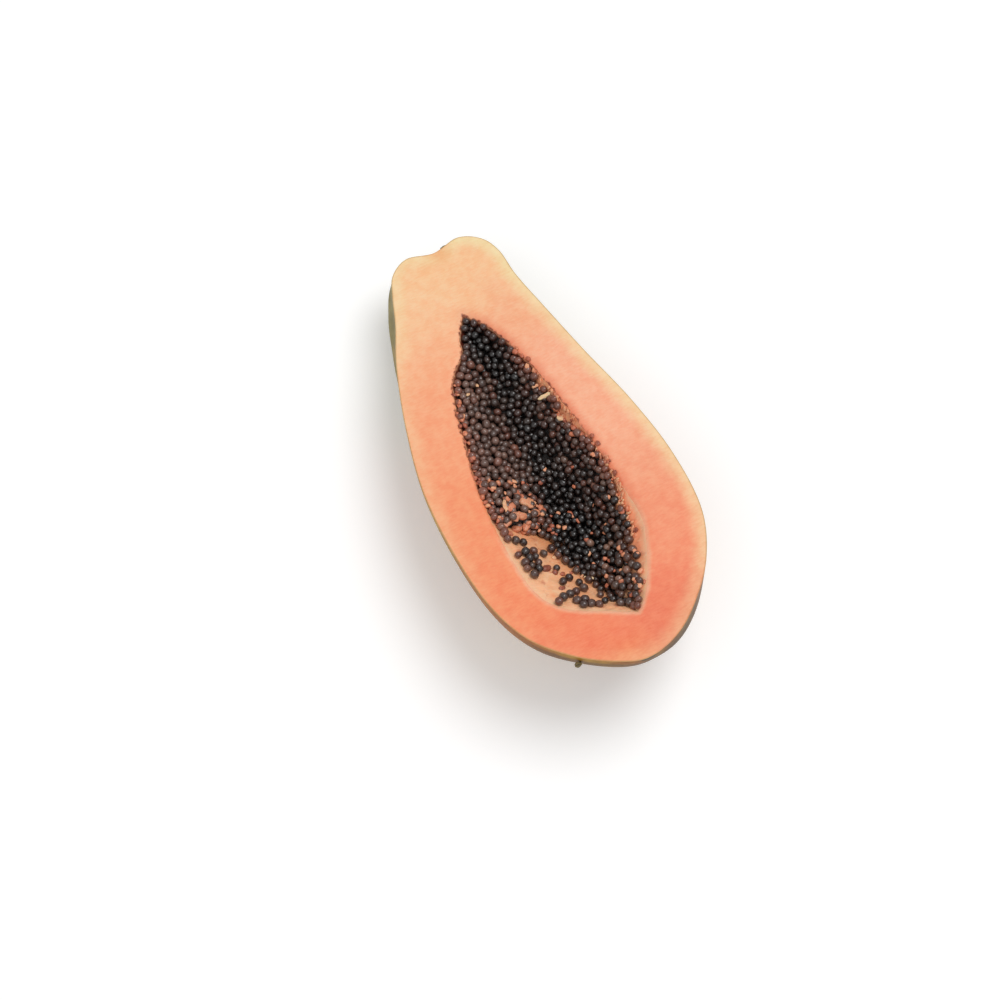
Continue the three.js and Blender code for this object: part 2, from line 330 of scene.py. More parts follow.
def gridFaces(first, rows, columns):
    a = first + np.arange(rows - 1)[:, None] * columns + np.arange(columns - 1)
    return np.stack([a, a + 1, a + columns + 1, a + columns], -1).reshape(-1, 4)


def weld(mesh):
    # merges points that meet, drops those without a face, and counts the edges left open
    work = bmesh.new()
    work.from_mesh(mesh)
    bmesh.ops.remove_doubles(work, verts=work.verts, dist=weldReach * millimetre)
    bmesh.ops.delete(work, geom=[v for v in work.verts if not v.link_faces], context="VERTS")
    openEdges = sum(not edge.is_manifold for edge in work.edges)
    work.to_mesh(mesh)
    work.free()
    return openEdges


def addNode(tree, kind, inputs=None, **settings):
    node = tree.nodes.new(kind)
    for name, value in settings.items():
        setattr(node, name, value)
    for name, value in (inputs or {}).items():
        if isinstance(value, bpy.types.NodeSocket):
            tree.links.new(value, node.inputs[name])
        else:
            node.inputs[name].default_value = value
    return node


def made(tree, kind, inputs=None, output=0, **settings):
    # an output of a new node
    return addNode(tree, kind, inputs, **settings).outputs[output]


def colour(code):
    # linear colour of a six-digit sRGB code
    parts = [int(code[n:n + 2], 16) / 255 for n in (0, 2, 4)]
    return [p / 12.92 if p <= 0.04045 else ((p + 0.055) / 1.055) ** 2.4 for p in parts] + [1]


def plus(tree, first, second):
    return made(tree, "ShaderNodeMath", {0: first, 1: second}, operation="ADD")


def times(tree, first, second):
    return made(tree, "ShaderNodeMath", {0: first, 1: second}, operation="MULTIPLY")


def swing(tree, value, reach):
    # a value from 0 to 1 becomes one from minus to plus half of this reach
    return times(tree, plus(tree, value, -0.5), reach)


def mixed(tree, factor, first, second, way="MIX"):
    return made(tree, "ShaderNodeMix", {0: factor, 6: first, 7: second}, 2,
                data_type="RGBA", blend_type=way)


def ramp(tree, value, stops, smooth=True):
    node = addNode(tree, "ShaderNodeValToRGB", {0: value})
    node.color_ramp.interpolation = "EASE" if smooth else "LINEAR"
    elements = node.color_ramp.elements
    while len(elements) < len(stops):
        elements.new(0.5)
    for element, (place, code) in zip(elements, stops):
        element.position = place
        element.color = colour(code)
    return node.outputs[0]


def spread(tree, value, low, high, toLow=0.0, toHigh=1.0):
    # a soft step as the value passes from low to high
    return made(tree, "ShaderNodeMapRange", {0: value, 1: low, 2: high, 3: toLow, 4: toHigh},
                interpolation_type="SMOOTHSTEP")


def cloud(tree, place, size, detail=3.0, roughness=0.5, stretch=None):
    # noise from 0 to 1 with lumps about this size, in millimetres
    if stretch:
        place = made(tree, "ShaderNodeMapping", {0: place, 3: stretch})
    return made(tree, "ShaderNodeTexNoise",
                {"Vector": place, "Scale": 1 / size, "Detail": detail, "Roughness": roughness})


def textured(tree, base, value, share, stops, way="SOFT_LIGHT"):
    # a grey pattern laid over the colour
    return mixed(tree, share, base, ramp(tree, value, stops), way)


def layered(tree, base, measures, layers):
    # lays colours over each other, each where all of its spans let it show
    for code, *spans in layers:
        shown = 1.0
        for measure, *span in spans:
            shown = times(tree, shown, spread(tree, measures[measure], *span))
        base = mixed(tree, shown, base, colour(code))
    return base


def stored(tree, name):
    # a value that the mesh holds for each of its points
    return made(tree, "ShaderNodeAttribute", output="Fac", attribute_name=name)


def levelPlace(tree):
    # millimetres in the level layout, from the object's own coordinates
    return made(tree, "ShaderNodeMapping", {
        "Vector": made(tree, "ShaderNodeTexCoord", output="Object"),
        "Location": tuple(-(tipped.T @ fitShift)),
        "Rotation": (tilt, 0, 0),
        "Scale": (1 / millimetre,) * 3,
    })


def measured(tree, place, *names):
    # what a layer of colour can go by: x, y, z and the mesh's own values of these names
    axes = addNode(tree, "ShaderNodeSeparateXYZ", {0: place}).outputs
    return {"x": axes[0], "y": axes[1], "z": axes[2]} | {name: stored(tree, name) for name in names}


def awayFrom(tree, place, point):
    return made(tree, "ShaderNodeVectorMath", {0: place, 1: point}, "Value", operation="DISTANCE")


def newMaterial(name, shader):
    # a material whose one Principled shader has these plain settings
    material = bpy.data.materials.new(name)
    material.use_nodes = True
    tree = material.node_tree
    tree.nodes.clear()
    principled = addNode(tree, "ShaderNodeBsdfPrincipled", shader)
    addNode(tree, "ShaderNodeOutputMaterial", {0: principled.outputs[0]})
    return material, tree, principled


def finish(tree, principled, base, height, depth):
    # the shader's colour, and bumps of this depth in millimetres
    bump = made(tree, "ShaderNodeBump", {"Height": height, "Distance": depth * millimetre})
    tree.links.new(base, principled.inputs["Base Color"])
    tree.links.new(bump, principled.inputs["Normal"])


# The cut flesh: cream at the neck and under the skin, salmon towards the blossom end.
# In every look a cloud of noise is given by the size of a lump, detail, roughness and stretch, and
# a layer by its colour and the spans over which it grows: what it goes by, from, to, least, most.

cutLook = {
    "ends": (-140, 140),
    # share of the way from the blossom end to the stem, colour on either side of the cavity
    "left": [(0.0, "f08556"), (0.08, "f27d55"), (0.2, "f68c5f"), (0.38, "f79467"),
             (0.52, "f99e72"), (0.66, "faa77c"), (0.78, "fbb488"), (0.88, "fbc798"), (1.0, "fbc290")],
    "right": [(0.0, "ec8056"), (0.1, "f1825d"), (0.2, "f48f68"), (0.36, "f49d77"),
              (0.5, "f9ad89"), (0.64, "f9af8b"), (0.76, "f7ae85"), (0.88, "fac091"), (1.0, "fac490")],
    "across": (-14, 18),  # the left colours pass into the right ones between these
    "wander": (34, 2),  # shifts all of these colours by up to half of the next value
    "wanderReach": 55,
    "uneven": (9, 3),  # the same for the way from the skin's edge
    "unevenReach": 5,
    "rimUneven": 0.3,  # share of that for the way from the rim
    # soft cream under the skin, stronger on the right and at the neck: its shares are added up
    "skinBand": "f5d8a4",
    "bandWidth": (11, 0.5),
    "bandShares": [("x", -30, 30, 0.25, 0.75), ("y", 60, 125, 0, 0.32), ("y", -20, -90, 0, -0.16)],
    "scarPlace": (8, 134, 0),
    "tatters": (2.6, 3),
    "tatterReach": 4,
    "layers": [
        ("b9955c", ("skinDistance", 1.0, 0.1, 0, 0.8)),  # line along the skin
        ("ea7450", ("y", -98, -116, 0, 0.4), ("x", -6, 8)),  # blush at the blossom end
        ("f2a870", ("scarDistance", 12, 2, 0, 0.6)),
        ("fac8a4", ("unevenRim", 3.2, 0.4, 0, 0.6), ("y", -35, -60)),  # pale rim of the bare end
        ("e2704c", ("unevenRim", 7, 0.2, 0, 0.55), ("x", -8, 14), ("y", -100, -40)),
        ("84402c", ("tatteredRim", 1.1, -0.2), ("y", -30, 20)),  # stain from the seeds
    ],
    "fibres": (1.6, 4, 0.6, (0.45, 1.6, 1)),
    "blotches": (6.5, 3),
    "texture": (0.3, [(0.32, "848484"), (0.68, "fafafa")]),
    "waves": (5, 2),
    "bump": 0.14,
    "shader": {
        "Roughness": 0.45,
        "Specular IOR Level": 0.35,
        "Subsurface Weight": 0.1,
        "Subsurface Radius": (1.0, 0.45, 0.25),
        "Subsurface Scale": 0.002,
        "Coat Weight": 0.08,
        "Coat Roughness": 0.3,
    },
}


def cutFleshMaterial():
    look = cutLook
    material, tree, shader = newMaterial("cutFlesh", look["shader"])
    place = levelPlace(tree)
    by = measured(tree, place, "skinDistance", "rimDistance")
    wander = swing(tree, cloud(tree, place, *look["wander"]), look["wanderReach"])
    low, high = look["ends"]
    along = made(tree, "ShaderNodeMapRange", {0: plus(tree, by["y"], wander), 1: low, 2: high})
    sides = (ramp(tree, along, look[side], smooth=False) for side in ("left", "right"))
    base = mixed(tree, spread(tree, plus(tree, by["x"], wander), *look["across"]), *sides)
    uneven = swing(tree, cloud(tree, place, *look["uneven"]), look["unevenReach"])
    share = 0.0
    for measure, *span in look["bandShares"]:
        share = plus(tree, share, spread(tree, by[measure], *span))
    edge = spread(tree, plus(tree, by["skinDistance"], uneven), *look["bandWidth"])
    base = mixed(tree, times(tree, edge, share), base, colour(look["skinBand"]))
    tatters = swing(tree, cloud(tree, place, *look["tatters"]), look["tatterReach"])
    by["unevenRim"] = plus(tree, by["rimDistance"], times(tree, uneven, look["rimUneven"]))
    by["tatteredRim"] = plus(tree, by["rimDistance"], tatters)
    by["scarDistance"] = awayFrom(tree, place, look["scarPlace"])
    base = layered(tree, base, by, look["layers"])
    fibres = cloud(tree, place, *look["fibres"])
    pattern = times(tree, plus(tree, fibres, cloud(tree, place, *look["blotches"])), 0.5)
    base = textured(tree, base, pattern, *look["texture"])
    finish(tree, shader, base, plus(tree, fibres, cloud(tree, place, *look["waves"])), look["bump"])
    return material


# The cavity's lining: a thin pale membrane with streaks and blushes

liningLook = {
    "patches": (6, 4),
    "base": [(0.25, "f7a576"), (0.5, "fbb88a"), (0.75, "fdcba1")],
    "blushes": (4.5, 3),
    "streaks": (2.2, 3, 0.5, (0.3, 1.5, 1)),
    "tatters": (3, 3),
    "tatterReach": 3,
    "layers": [
        ("f3845c", ("x", 12, 26, 0, 0.6)),  # redder on the right
        ("ec9a66", ("z", -9, -22, 0, 0.8)),  # and deeper down
        ("ffb284", ("x", 10, 16, 0, 0.85), ("y", -20, 4)),  # the steep wall above the bare end
        ("c25a40", ("blushes", 0.55, 0.72, 0, 0.55)),
        ("fdc9a0", ("streaks", 0.55, 0.72, 0, 0.55)),
        ("fdc9a0", ("z", -4, -0.5, 0, 0.85), ("y", -28, -48)),  # rim of the bare end
        # darker reddish brown on the wall wherever the heap leans on it
        ("6a3022", ("raggedDepth", 1.6, -1.2), ("y", -46, -26), ("pastHeap", -0.6, 0.6, 1, 0)),
    ],
    "bump": 0.35,
    "shader": {
        "Roughness": 0.36,
        "Specular IOR Level": 0.35,
        "Subsurface Weight": 0.12,
        "Subsurface Radius": (1.0, 0.45, 0.25),
        "Subsurface Scale": 0.002,
        "Coat Weight": 0.15,
        "Coat Roughness": 0.2,
    },
}


def liningMaterial():
    look = liningLook
    material, tree, shader = newMaterial("cavityLining", look["shader"])
    place = levelPlace(tree)
    by = measured(tree, place, "pastHeap")
    for name in ("blushes", "streaks"):
        by[name] = cloud(tree, place, *look[name])
    tatters = times(tree, cloud(tree, place, *look["tatters"]), look["tatterReach"])
    by["raggedDepth"] = plus(tree, by["z"], tatters)
    base = ramp(tree, cloud(tree, place, *look["patches"]), look["base"])
    finish(tree, shader, layered(tree, base, by, look["layers"]), by["streaks"], look["bump"])
    return material


# The skin: waxy, green to yellow with orange blushes, and darker freckles

skinLook = {
    "base": ["ac8434", "a3642a"],  # yellow and orange
    "patches": (45, 4, 0.55),
    "patchEdge": (0.38, 0.58),
    "neck": (10, 120, 0, 0.4),  # the green grows along this stretch
    "neckPatches": (30, 5, 0.6),
    "layers": [
        ("85783c", ("neck", 0.52, 0.82)),  # green
        ("6e5026", ("y", -108, -128), ("x", -25, 15, 0, 0.7)),  # browner and darker at the blossom end towards the right: the skin's own brown and painted shade of its underside
        ("5e4220", ("z", -2, -7, 0, 0.75), ("y", -88, -112)),  # painted shade where the skin turns under the cut there
    ],
    "mottle": (7, 5, 0.65),
    "texture": (0.35, [(0.3, "6f6f6f"), (0.7, "eeeeee")]),
    "freckle": "55502c",
    "freckleShare": 0.75,
    "freckleScale": 0.22,  # about one to every 4.5 mm
    "freckleSize": (0.17, 0.05),
    "freckled": (24, 2),
    "freckledEdge": (0.45, 0.7),
    "freckleBump": 0.6,
    "stemPole": (5.5, 135, 0),
    "blossomPole": (-1.5, -140, 0),
    "raggedScar": (3, 4),
    "raggedReach": 4,
    "scars": [("5f5038", ("stemPole", 11, 9)), ("5f5038", ("blossomPole", 7, 5))],
    "bump": 0.25,
    "shader": {
        "Roughness": 0.48,
        "Specular IOR Level": 0.14,
        "Coat Weight": 0.04,
        "Coat Roughness": 0.3,
    },
}


def skinMaterial():
    look = skinLook
    material, tree, shader = newMaterial("mottledSkin", look["shader"])
    place = levelPlace(tree)
    by = measured(tree, place)
    patches = spread(tree, cloud(tree, place, *look["patches"]), *look["patchEdge"])
    base = mixed(tree, patches, *(colour(code) for code in look["base"]))
    neckPatches = cloud(tree, place, *look["neckPatches"])
    by["neck"] = plus(tree, spread(tree, by["y"], *look["neck"]), neckPatches)
    base = layered(tree, base, by, look["layers"])
    mottle = cloud(tree, place, *look["mottle"])
    base = textured(tree, base, mottle, *look["texture"])
    cells = made(tree, "ShaderNodeTexVoronoi",
                 {"Vector": place, "Scale": look["freckleScale"]}, "Distance")
    where = spread(tree, cloud(tree, place, *look["freckled"]), *look["freckledEdge"])
    spots = times(tree, spread(tree, cells, *look["freckleSize"]), where)
    base = mixed(tree, times(tree, spots, look["freckleShare"]), base, colour(look["freckle"]))
    ragged = times(tree, cloud(tree, place, *look["raggedScar"]), look["raggedReach"])
    for pole in ("stemPole", "blossomPole"):
        by[pole] = plus(tree, awayFrom(tree, place, look[pole]), ragged)
    base = layered(tree, base, by, look["scars"])
    relief = plus(tree, mottle, times(tree, spots, look["freckleBump"]))
    finish(tree, shader, base, relief, look["bump"])
    return material


# The flesh piece: skin, cut face and cavity wall as welded sheets

fleshRule = {
    # rows of the cut face: ways in from the skin's edge, ways out from the rim, steps between
    "fromSkin": [0, 0.35, 1, 2, 3.5, 5.5, 8],
    "fromRim": [8, 6.6, 5.4, 4.3, 3.3, 2.4, 1.6, 0.9, 0.4, 0],
    "between": 14,
    "edgeSteps": 1500,  # points along an edge when ways from it are measured
    "chunk": 2000,  # points measured at a time
    "farAway": 40,  # stands for a way that is past all use
    # unevenness: height, size of a lump, shift of the pattern
    "skinDents": (0.3, 16, 0.0),
    "cutWaves": (0.16, 14, 1.7),
    "liningLumps": (0.7, 4.5, 3.1),
    "rimTatters": (0.9, 4.0, 7.3),
    "dentAim": 0.8,  # dents sink towards the middle line, this share of the way along it
    "wavesWhole": 6,  # way in from the skin where the waves reach their full height
    "lumpsGrow": (0.5, 5),  # depths between which the lumps grow
    "tattersGrow": (0.3, -60, -20),  # share of them at the bare end, and where that grows
    "tatteredTips": 0.3,  # a power: the smaller, the nearer to the tips the tatters go
    "rimRound": (0.9, 2.4),  # drop and width of the rounding at the rim
    "rimDepth": 5,  # the drop runs out this far down the wall
    "cutEdge": 0.3,  # the knife leaves the skin's edge this much lower
    "cutEdgeDepth": 20,  # by less where the fruit is thinner than this
    "sharpAngle": 40,
}


def dentsAt(points, rule):
    # lumps that only go one way, from 0 to their largest height
    return (rule[0] + lumpsAt(points, rule)) / 2


def dentedSkin():
    inwards = skinSheet * [0, fleshRule["dentAim"], 0] - skinSheet
    inwards /= np.maximum(np.linalg.norm(inwards, axis=-1, keepdims=True), nearlyZero)
    dents = dentsAt(skinSheet, fleshRule["skinDents"]) * np.sin(skinAngles)
    return skinSheet + inwards * dents[..., None]


def rim(t, side):
    # the cavity's rim: side 1 is the left one, 2 the right one
    section = cavitySection(t)
    return np.stack([section[side], section[0], np.zeros_like(t)], -1)


def tattered(line):
    # a rim shifted in and out, not at its two tips
    least, low, high = fleshRule["tattersGrow"]
    keep = np.sin(np.linspace(0, math.pi, len(line))) ** fleshRule["tatteredTips"]
    keep = keep * (least + (1 - least) * smoothstep(line[:, 1], low, high))
    line[:, 0] += keep * lumpsAt(line, fleshRule["rimTatters"])
    return line


def cutSheet(outer, inner):
    # points from the skin's edge to the rim, with rows close together at both
    span = np.linalg.norm(inner - outer, axis=1)
    first, last = fleshRule["fromSkin"], fleshRule["fromRim"]
    rows = [np.full(len(span), d) for d in first]
    for n in range(1, fleshRule["between"]):
        share = n / fleshRule["between"]
        rows.append(first[-1] + (span - first[-1] - last[0]) * share)
    rows += [span - d for d in last]
    share = np.stack(rows, 1) / span[:, None]
    return outer[:, None] + (inner - outer)[:, None] * share[..., None]


def leastDistance(points, line):
    # way from each point to the nearest one of a line, seen from above
    flat = points.reshape(-1, 3)[:, :2]
    found = np.empty(len(flat))
    chunk = fleshRule["chunk"]
    for start in range(0, len(flat), chunk):
        gaps = flat[start:start + chunk, None] - line[None, :, :2]
        found[start:start + chunk] = np.sqrt((gaps**2).sum(-1).min(1))
    return found.reshape(points.shape[:-1])


def cutHalf(outer, inner, outline, rimLine):
    # one side of the cut face, with its ways from the skin and from the rim
    sheet = cutSheet(outer, inner)
    fromSkin, fromRim = leastDistance(sheet, outline), leastDistance(sheet, rimLine)
    drop, width = fleshRule["rimRound"]
    waves = smoothstep(fromSkin, 0, fleshRule["wavesWhole"]) * dentsAt(sheet, fleshRule["cutWaves"])
    sheet[..., 2] -= waves + drop * np.maximum(1 - fromRim / width, 0) ** 2
    return sheet, fromSkin, fromRim


def cavityWall(section, leftRim, rightRim):
    # the wall, with rows closer together at the rims, and its way past the heap's ends
    left, right = section[1], section[2]
    shares = 0.5 - 0.5 * np.cos(np.linspace(0, math.pi, cavity["sides"] + 1))
    x = left + (right - left) * shares
    z = wallHeight(section, x)
    z = z - fleshRule["rimRound"][0] * (1 - smoothstep(-z, 0, fleshRule["rimDepth"]))
    shownX = leftRim[:, :1] + (rightRim - leftRim)[:, :1] * shares
    wall = np.stack([shownX, np.broadcast_to(section[0], x.shape), z], -1)
    wall[..., 2] += smoothstep(-z, *fleshRule["lumpsGrow"]) * lumpsAt(wall, fleshRule["liningLumps"])
    leftEnd, rightEnd, _ = heapEnd(section)
    return wall, np.maximum(leftEnd - x, x - rightEnd)


def buildFlesh():
    skin = dentedSkin()
    s = evenSteps([lambda v: rim(v, 1), lambda v: rim(v, 2)], fruit["rings"])
    leftRim, rightRim = tattered(rim(s, 1)), tattered(rim(s, 2))
    steps = np.linspace(0, 1, fleshRule["edgeSteps"])
    lines = np.concatenate([rightEdge(steps), leftEdge(steps)]), np.concatenate([leftRim, rightRim])
    rightHalf = [part[:, ::-1] for part in cutHalf(skin[:, 0], rightRim, *lines)]
    leftHalf = cutHalf(skin[:, -1], leftRim, *lines)
    wall, pastHeap = cavityWall([part[:, None] for part in cavitySection(s)], leftRim, rightRim)
    far = fleshRule["farAway"]
    # points, way from the skin's edge, way from the rim, way past the heap's ends, material
    sheets = [(skin, 0, far, 0, 0), (*rightHalf, 0, 1), (*leftHalf, 0, 1), (wall, far, 0, pastHeap, 2)]
    # the sheets meet along the skin's edge and the rim
    deepest = -skin[:, fruit["sides"] // 2, 2]
    skin[:, 0, 2] = -fleshRule["cutEdge"] * smoothstep(deepest, 0, fleshRule["cutEdgeDepth"])
    skin[:, -1, 2] = skin[:, 0, 2]
    rightHalf[0][:, -1] = skin[:, 0]
    leftHalf[0][:, 0] = skin[:, -1]
    wall[:, 0] = leftHalf[0][:, -1]
    wall[:, -1] = rightHalf[0][:, 0]

    points, faces, kinds, first = [], [], [], 0
    for sheet in sheets:
        drawn = gridFaces(first, *sheet[0].shape[:2])
        faces.append(drawn)
        kinds += [sheet[-1]] * len(drawn)
        points.append(sheet[0].reshape(-1, 3))
        first += len(points[-1])
    placed = toRest(np.concatenate(points))
    placed[:, 2] = np.maximum(placed[:, 2], fleshLow[2] * millimetre)
    values = {}
    for column, name in ((1, "skinDistance"), (2, "rimDistance"), (3, "pastHeap")):
        spans = [np.broadcast_to(sheet[column], sheet[0].shape[:2]) for sheet in sheets]
        values[name] = np.concatenate([span.ravel() for span in spans])
    materials = [skinMaterial(), cutFleshMaterial(), liningMaterial()]
    piece = newPiece("fleshHalf", placed, np.concatenate(faces), materials, kinds, values)
    openEdges = weld(piece.data)
    piece.data.shade_smooth()
    piece.data.set_sharp_from_angle(angle=math.radians(fleshRule["sharpAngle"]))
    print("flesh:", len(piece.data.polygons), "faces,", openEdges, "open edges")
    return piece


flesh = buildFlesh()
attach(flesh, "root")
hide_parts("flesh")

# The seeds: dropped on the heap one by one, each where it lies lowest, and rows on the bare wall

seedRule = {
    "radius": 2.22,
    "spread": 0.13,  # largest change of the radius, as a share of it
    "length": 1.12,
    "ballSteps": 4,
    "coreSink": 3.0,  # the core lies this far under the heap's top
    "rimSink": (0.3, 7),  # share of that at the rims, and how far in it grows to the whole
    "rest": 0.7,  # share of its radius by which a seed stands off the core or the wall
    "overlap": 0.45,  # soft seeds press into each other this much
    "top": 1.0,  # highest middle over the heap's top, as a share of the radius
    "underWall": -1.0,  # no seed lies where the top of the heap is lower than this against the wall
    "rimGap": 0.35,  # least way from a seed's middle to the rim, as a share of the radius
    "tipWidth": 5,  # no seed lies where the cavity is narrower
    "blossomEnd": -111,  # nor past this place
    "most": 3000,  # seeds that there is room to list
    "tries": 48,
    "misses": 160,  # the heap is full after this many rounds with no room
    "random": 20417,
    # loose seeds are shifted by up to this much, then moved apart in so many steps
    "looseShift": 1.1,
    "partings": 30,
    "leastGap": 1e-6,  # keeps two seeds on the same spot from failing
    # first and last seed of a row on the wall, and how many
    "looseRows": [
        ((-37.3, -36.5), (-37.5, -40.5), 2),
        ((-36, -44.5), (-31, -46.5), 3),
        ((-36.8, -56), (-26.5, -54), 3),
        ((-34.5, -61), (-28, -58), 3),
        ((-35.5, -65.5), (-28, -62.5), 3),
        ((-33.5, -69), (-29.5, -66.5), 2),
        ((-22, -58), (-17, -55), 2),
        ((-19.5, -68), (-19.5, -68), 1),
        ((-21, -78), (-16, -76), 2),
        ((-12.6, -79.8), (-11.2, -83.6), 2),
        ((-5.4, -91.8), (-5.4, -97), 2),
        ((-29, -90), (-17, -87), 4),
        ((-19.5, -92), (-12, -99.5), 5),
    ],
    # strays on the steep wall past the heap's right edge
    "strayRows": [
        ((22.2, 38.6), (22.2, 38.6), 1),
        ((23.8, 29.0), (23.8, 29.0), 1),
        ((25.0, 21.4), (25.8, 17.0), 2),
        ((26.6, 5.5), (26.8, 1.0), 2),
    ],
}


def coreTop(section, x):
    # the core's upper surface, under the heap's top
    least, reach = seedRule["rimSink"]
    fromRim = np.minimum(x - section[1], section[2] - x)
    sink = seedRule["coreSink"] * (least + (1 - least) * smoothstep(fromRim, 0, reach))
    return heapHeight(section, x) - sink


def layLooseSeeds(rule, rows, draw):
    # seeds on the wall, moved apart until they only touch
    places, radii = [], []
    for first, last, count in rows:
        for n in range(count):
            share = n / max(count - 1, 1)
            places.append([a + (b - a) * share + rule["looseShift"] * draw.uniform(-1, 1)
                           for a, b in zip(first, last)])
            radii.append(rule["radius"] * (1 + rule["spread"] * draw.uniform(-1, 1)))
    places, radii = np.array(places), np.array(radii)
    for _ in range(rule["partings"]):
        gap = places[:, None] - places
        apart = np.linalg.norm(gap, axis=2) + rule["leastGap"]
        push = np.maximum(radii[:, None] + radii - rule["overlap"] - apart, 0) / 2
        np.fill_diagonal(push, 0)
        places = places + (gap / apart[..., None] * push[..., None]).sum(1) * 0.5
    seeds = []
    for (x, y), radius in zip(places, radii):
        section = sectionAt(y)
        slope = float(slopeOf(wallHeight, section, x))
        lie = rule["rest"] * radius
        height = float(wallHeight(section, x)) + lie * math.cos(slope)
        fromRim = float(min(x - section[1], section[2] - x))
        seeds.append((x - lie * math.sin(slope), y, height, radius, slope, fromRim))
    return np.array(seeds)


def layHeapSeeds(rule, draw, loose):
    # columns: middle, radius, slope, way from the rim
    found = np.empty((rule["most"], 6))
    found[:len(loose)] = loose
    count, misses = len(loose), 0
    low, high = cavity["sections"][0][0], cavity["sections"][-1][0]
    while misses < rule["misses"]:
        tries = rule["tries"]
        y = draw.uniform(low, high, tries)
        section = sectionAt(y)
        left, right = section[1], section[2]
        radius = rule["radius"] * (1 + rule["spread"] * draw.uniform(-1, 1, tries))
        x = left + (right - left) * draw.uniform(0, 1, tries)
        heap, wall = heapHeight(section, x), wallHeight(section, x)
        slope = slopeOf(wallHeight, section, x)
        base = np.maximum(coreTop(section, x) + rule["rest"] * radius,
                          wall + rule["rest"] * radius / np.cos(slope))
        near = found[:count]
        flat = np.hypot(x[:, None] - near[:, 0], y[:, None] - near[:, 1])
        touch = radius[:, None] + near[:, 3] - rule["overlap"]
        over = near[:, 2] + np.sqrt(np.maximum(touch**2 - flat**2, 0))
        z = np.maximum(base, np.where(flat < touch, over, -math.inf).max(1))
        fromRim = np.minimum(x - left, right - x)
        room = (z <= heap + rule["top"] * radius) & (heap - wall > rule["underWall"])
        room &= (fromRim > rule["rimGap"] * radius) & (right - left > rule["tipWidth"])
        room &= y > rule["blossomEnd"]
        if not room.any():
            misses += 1
            continue
        misses = 0
        pick = np.argmin(np.where(room, z - heap, math.inf))
        topSlope = slopeOf(heapHeight, [part[pick] for part in section], x[pick])
        found[count] = (x[pick], y[pick], z[pick], radius[pick], topSlope, fromRim[pick])
        count += 1
    return found[len(loose):count]


seedLook = {
    "base": [(0.0, "241814"), (0.45, "3e2c26"), (0.85, "5a4238"), (1.0, "785a4b")],
    # laid over that, each by as much as the seed's value of this name says: lit is painted light, depth
    # is painted shade
    "over": {"lit": "8f6a5c", "depth": "0c0807", "odd": "8f6a58", "warmth": "964f38"},
    "grain": (0.9, 3),
    "texture": (0.35, [(0.3, "606060"), (0.7, "ffffff")], "MULTIPLY"),
    "bump": 0.12,
    "shader": {
        "Roughness": 0.32,
        "Specular IOR Level": 0.5,
        "Coat Weight": 0.75,
        "Coat Roughness": 0.13,
    },
}


def seedMaterial():
    material, tree, shader = newMaterial("wetSeeds", seedLook["shader"])
    base = ramp(tree, stored(tree, "shade"), seedLook["base"], smooth=False)
    for name, code in seedLook["over"].items():
        base = mixed(tree, stored(tree, name), base, colour(code))
    grain = cloud(tree, levelPlace(tree), *seedLook["grain"])
    base = textured(tree, base, grain, *seedLook["texture"])
    finish(tree, shader, base, grain, seedLook["bump"])
    return material


def buildBallTree():
    # a lumpy ball on each point, turned and sized by the point's own values
    tree = bpy.data.node_groups.new("ballsOnPoints", "GeometryNodeTree")
    face = tree.interface
    face.new_socket("Geometry", in_out="INPUT", socket_type="NodeSocketGeometry")
    for name, value in {"Lump Size": 0.0022, "Lump Height": 0.0005}.items():
        face.new_socket(name, in_out="INPUT", socket_type="NodeSocketFloat").default_value = value
    for name, value in {"Ball Steps": 4, "Random Seed": 5}.items():
        face.new_socket(name, in_out="INPUT", socket_type="NodeSocketInt").default_value = value
    face.new_socket("Material", in_out="INPUT", socket_type="NodeSocketMaterial")
    face.new_socket("Geometry", in_out="OUTPUT", socket_type="NodeSocketGeometry")
    given = addNode(tree, "NodeGroupInput").outputs

    def vectors(name):
        return made(tree, "GeometryNodeInputNamedAttribute", {"Name": name}, "Attribute",
                    data_type="FLOAT_VECTOR")

    position = made(tree, "GeometryNodeInputPosition")
    steps = {"Vertices " + axis: given["Ball Steps"] for axis in "XYZ"}
    block = made(tree, "GeometryNodeMeshCube", steps, "Mesh")
    rounded = made(tree, "ShaderNodeVectorMath", {0: position}, operation="NORMALIZE")
    ball = made(tree, "GeometryNodeSetPosition", {"Geometry": block, "Position": rounded})
    chance = made(tree, "FunctionNodeRandomValue", {"Seed": given["Random Seed"]}, 1, data_type="FLOAT")
    shaded = made(tree, "GeometryNodeStoreNamedAttribute",
                  {"Geometry": given["Geometry"], "Name": "shade", "Value": chance},
                  data_type="FLOAT", domain="POINT")
    placed = made(tree, "GeometryNodeInstanceOnPoints", {
        "Points": shaded,
        "Instance": ball,
        "Rotation": made(tree, "FunctionNodeEulerToRotation", {0: vectors("lie")}),
        "Scale": vectors("size"),
    })
    real = made(tree, "GeometryNodeRealizeInstances", {0: placed})
    scale = made(tree, "ShaderNodeMath", {0: 1.0, 1: given["Lump Size"]}, operation="DIVIDE")
    lumps = made(tree, "ShaderNodeTexNoise", {"Vector": position, "Scale": scale, "Detail": 1.0})
    push = made(tree, "ShaderNodeVectorMath", {
        0: made(tree, "GeometryNodeInputNormal"),
        "Scale": swing(tree, lumps, given["Lump Height"]),
    }, operation="SCALE")
    uneven = made(tree, "GeometryNodeSetPosition", {"Geometry": real, "Offset": push})
    smooth = made(tree, "GeometryNodeSetShadeSmooth", {0: uneven})
    dressed = made(tree, "GeometryNodeSetMaterial",
                   {"Geometry": smooth, "Material": given["Material"]})
    addNode(tree, "NodeGroupOutput", {0: dressed})
    return tree


ballTree = buildBallTree()


